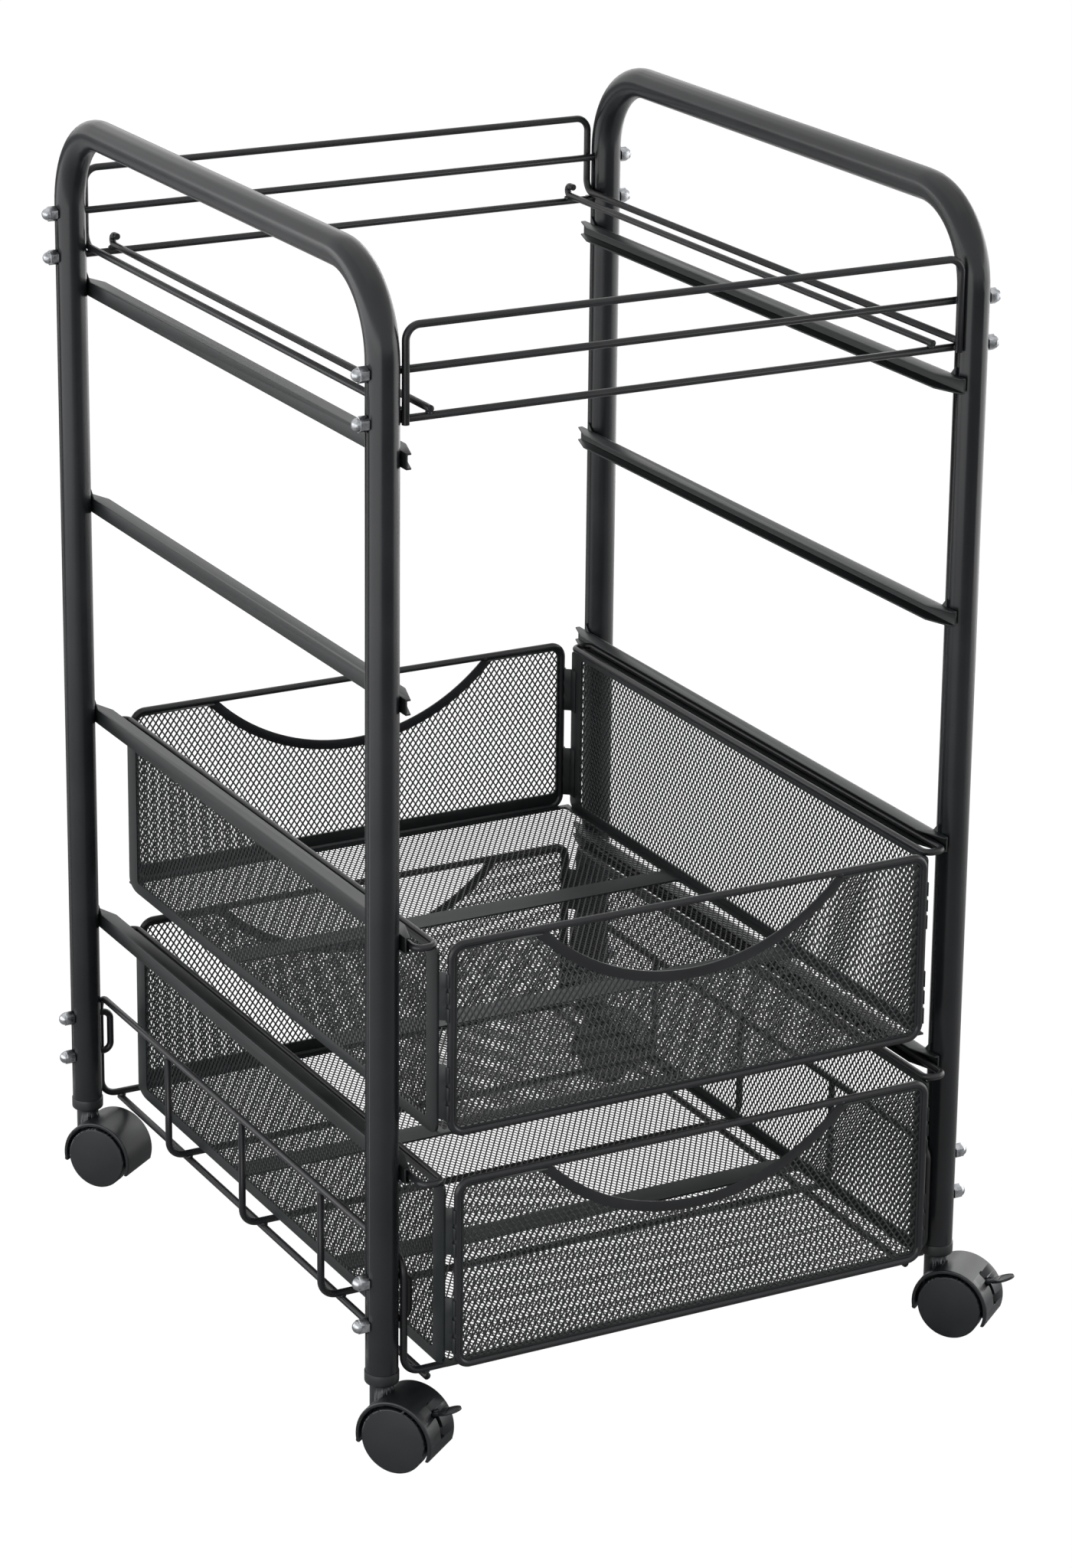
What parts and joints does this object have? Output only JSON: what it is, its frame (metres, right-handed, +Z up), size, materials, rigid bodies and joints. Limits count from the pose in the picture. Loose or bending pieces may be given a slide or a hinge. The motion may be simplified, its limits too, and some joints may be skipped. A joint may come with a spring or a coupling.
{
  "type": "mobile file cabinet",
  "caption": "Open frame file cabinet on swivel casters: tube side frames, wire basket for hanging files, sliding mesh drawers in channel rails and a wire base.",
  "frame": {"origin": "on the floor, under the middle of the bounding box at rest. The casters are turned, so that is 8.5 mm right and 11.7 mm forward of the middle of the four posts", "axes": "+Z up, the drawers open towards -Y, +X is the viewer's right when facing the drawers"},
  "size_m": [0.4168, 0.4722, 0.6862],
  "materials": {
    "tube": "satin",
    "wire": "satin",
    "mesh": "satin",
    "strip": "satin",
    "caster_plastic": "satin",
    "zinc": "satin",
    "steel": "satin"
  },
  "bodies": {
    "frame": {"left_side_tube": "tube", "right_side_tube": "tube", "left_rail_1": "tube", "left_rail_2": "tube", "left_rail_3": "tube", "left_rail_4": "tube", "right_rail_1": "tube", "right_rail_2": "tube", "right_rail_3": "tube", "right_rail_4": "tube", "basket_front_hoop": "wire", "basket_rear_hoop": "wire", "basket_cross_wires": "wire", "left_file_rail": "wire", "right_file_rail": "wire", "base_perimeter_wire": "wire", "base_cross_wires": "wire", "base_long_wires": "wire", "base_staples": "wire", "cap_nuts": "zinc", "stem_sockets": "caster_plastic", "caster_stems": "steel"},
    "upper_drawer": {"upper_front_frame": "wire", "upper_front_mesh": "mesh", "upper_rear_frame": "wire", "upper_rear_mesh": "mesh", "upper_left_panel": "mesh", "upper_right_panel": "mesh", "upper_floor": "mesh", "upper_left_runner": "wire", "upper_right_runner": "wire", "upper_clips": "strip"},
    "lower_drawer": {"lower_front_frame": "wire", "lower_front_mesh": "mesh", "lower_rear_frame": "wire", "lower_rear_mesh": "mesh", "lower_left_panel": "mesh", "lower_right_panel": "mesh", "lower_floor": "mesh", "lower_left_runner": "wire", "lower_right_runner": "wire", "lower_clips": "strip"},
    "front_left_caster": {"front_left_hood": "caster_plastic", "front_left_axle": "steel"},
    "front_left_inner_wheel": {"front_left_inner_wheel": "caster_plastic"},
    "front_left_outer_wheel": {"front_left_outer_wheel": "caster_plastic"},
    "front_right_caster": {"front_right_hood": "caster_plastic", "front_right_axle": "steel"},
    "front_right_inner_wheel": {"front_right_inner_wheel": "caster_plastic"},
    "front_right_outer_wheel": {"front_right_outer_wheel": "caster_plastic"},
    "rear_left_caster": {"rear_left_hood": "caster_plastic", "rear_left_axle": "steel"},
    "rear_left_inner_wheel": {"rear_left_inner_wheel": "caster_plastic"},
    "rear_left_outer_wheel": {"rear_left_outer_wheel": "caster_plastic"},
    "rear_right_caster": {"rear_right_hood": "caster_plastic", "rear_right_axle": "steel"},
    "rear_right_inner_wheel": {"rear_right_inner_wheel": "caster_plastic"},
    "rear_right_outer_wheel": {"rear_right_outer_wheel": "caster_plastic"},
    "front_left_brake_lever": {"front_left_brake_lever": "caster_plastic"},
    "front_right_brake_lever": {"front_right_brake_lever": "caster_plastic"}
  },
  "joints": [
    {"name": "upper_drawer_slide", "type": "slide", "parent": "frame", "child": "upper_drawer", "axis": [0, -1, 0], "range_m": [0, 0.28]},
    {"name": "lower_drawer_slide", "type": "slide", "parent": "frame", "child": "lower_drawer", "axis": [0, -1, 0], "range_m": [-0.009, 0.271]},
    {"name": "front_left_swivel", "type": "hinge", "parent": "frame", "child": "front_left_caster", "pos_m": [-0.19047, -0.19628, 0.046], "axis": [0, 0, 1], "continuous": true},
    {"name": "front_left_inner_wheel_spin", "type": "hinge", "parent": "front_left_caster", "child": "front_left_inner_wheel", "pos_m": [-0.18181, -0.20766, 0.01925], "axis": [0.7955, 0.606, 0], "continuous": true},
    {"name": "front_left_outer_wheel_spin", "type": "hinge", "parent": "front_left_caster", "child": "front_left_outer_wheel", "pos_m": [-0.18181, -0.20766, 0.01925], "axis": [0.7955, 0.606, 0], "continuous": true},
    {"name": "front_left_brake_hinge", "type": "hinge", "parent": "front_left_caster", "child": "front_left_brake_lever", "pos_m": [-0.17635, -0.21482, 0.02905], "axis": [0.7955, 0.606, 0], "range_deg": [0, 22]},
    {"name": "front_right_swivel", "type": "hinge", "parent": "frame", "child": "front_right_caster", "pos_m": [0.17353, -0.19628, 0.046], "axis": [0, 0, 1], "continuous": true},
    {"name": "front_right_inner_wheel_spin", "type": "hinge", "parent": "front_right_caster", "child": "front_right_inner_wheel", "pos_m": [0.18219, -0.20766, 0.01925], "axis": [0.7955, 0.606, 0], "continuous": true},
    {"name": "front_right_outer_wheel_spin", "type": "hinge", "parent": "front_right_caster", "child": "front_right_outer_wheel", "pos_m": [0.18219, -0.20766, 0.01925], "axis": [0.7955, 0.606, 0], "continuous": true},
    {"name": "front_right_brake_hinge", "type": "hinge", "parent": "front_right_caster", "child": "front_right_brake_lever", "pos_m": [0.18765, -0.21482, 0.02905], "axis": [0.7955, 0.606, 0], "range_deg": [0, 22]},
    {"name": "rear_left_swivel", "type": "hinge", "parent": "frame", "child": "rear_left_caster", "pos_m": [-0.19047, 0.21972, 0.046], "axis": [0, 0, 1], "continuous": true},
    {"name": "rear_left_inner_wheel_spin", "type": "hinge", "parent": "rear_left_caster", "child": "rear_left_inner_wheel", "pos_m": [-0.18181, 0.20834, 0.01925], "axis": [0.7955, 0.606, 0], "continuous": true},
    {"name": "rear_left_outer_wheel_spin", "type": "hinge", "parent": "rear_left_caster", "child": "rear_left_outer_wheel", "pos_m": [-0.18181, 0.20834, 0.01925], "axis": [0.7955, 0.606, 0], "continuous": true},
    {"name": "rear_right_swivel", "type": "hinge", "parent": "frame", "child": "rear_right_caster", "pos_m": [0.17353, 0.21972, 0.046], "axis": [0, 0, 1], "continuous": true},
    {"name": "rear_right_inner_wheel_spin", "type": "hinge", "parent": "rear_right_caster", "child": "rear_right_inner_wheel", "pos_m": [0.18219, 0.20834, 0.01925], "axis": [0.7955, 0.606, 0], "continuous": true},
    {"name": "rear_right_outer_wheel_spin", "type": "hinge", "parent": "rear_right_caster", "child": "rear_right_outer_wheel", "pos_m": [0.18219, 0.20834, 0.01925], "axis": [0.7955, 0.606, 0], "continuous": true}
  ]
}
